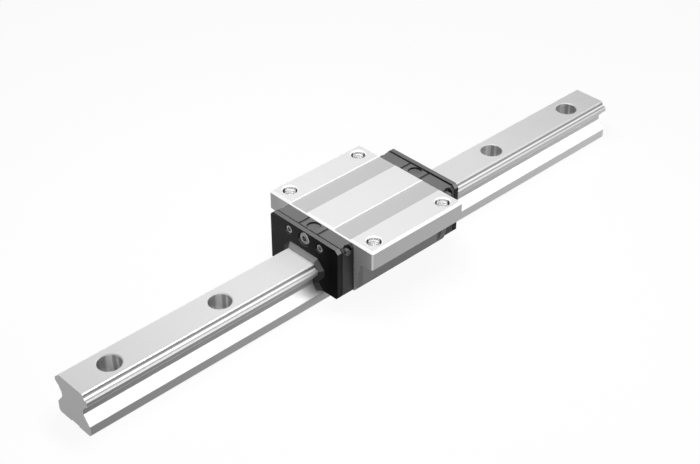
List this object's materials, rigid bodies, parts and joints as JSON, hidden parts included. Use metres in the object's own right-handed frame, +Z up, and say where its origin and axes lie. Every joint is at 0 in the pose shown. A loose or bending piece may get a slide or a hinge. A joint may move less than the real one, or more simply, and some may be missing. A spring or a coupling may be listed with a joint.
{
  "type": "profile rail linear guide",
  "caption": "Ground steel profile rail with counterbored fixing holes and one flanged four-row ball carriage with resin end plates and end seals, free to slide along the rail.",
  "frame": {"origin": "middle of the rail's underside, half way along its length", "axes": "+X along the rail, +Y across the rail, +Z up from the mounting face to the carriage top"},
  "size_m": [0.34, 0.07, 0.036],
  "materials": {
    "ground_steel": "satin",
    "block_steel": "satin",
    "dark_resin": "satin",
    "seal_rubber": "satin",
    "screw_steel": "satin",
    "ball_steel": "polished",
    "retainer_resin": "satin"
  },
  "bodies": {
    "rail": {"rail": "ground_steel"},
    "carriage": {"carriage_block": "block_steel", "end_plate_front": "dark_resin", "end_plate_rear": "dark_resin", "end_seal_front": "seal_rubber", "end_seal_rear": "seal_rubber", "grease_plug_front": "screw_steel", "grease_plug_rear": "screw_steel", "seal_screws_front": "screw_steel", "seal_screws_rear": "screw_steel", "balls_upper_near": "ball_steel", "balls_upper_far": "ball_steel", "balls_lower_near": "ball_steel", "balls_lower_far": "ball_steel", "ball_retainer_near": "retainer_resin", "ball_retainer_far": "retainer_resin", "ball_retainer_top": "retainer_resin"}
  },
  "joints": [
    {"name": "carriage_slide", "type": "slide", "parent": "rail", "child": "carriage", "axis": [1, 0, 0], "range_m": [-0.128, 0.128]}
  ]
}
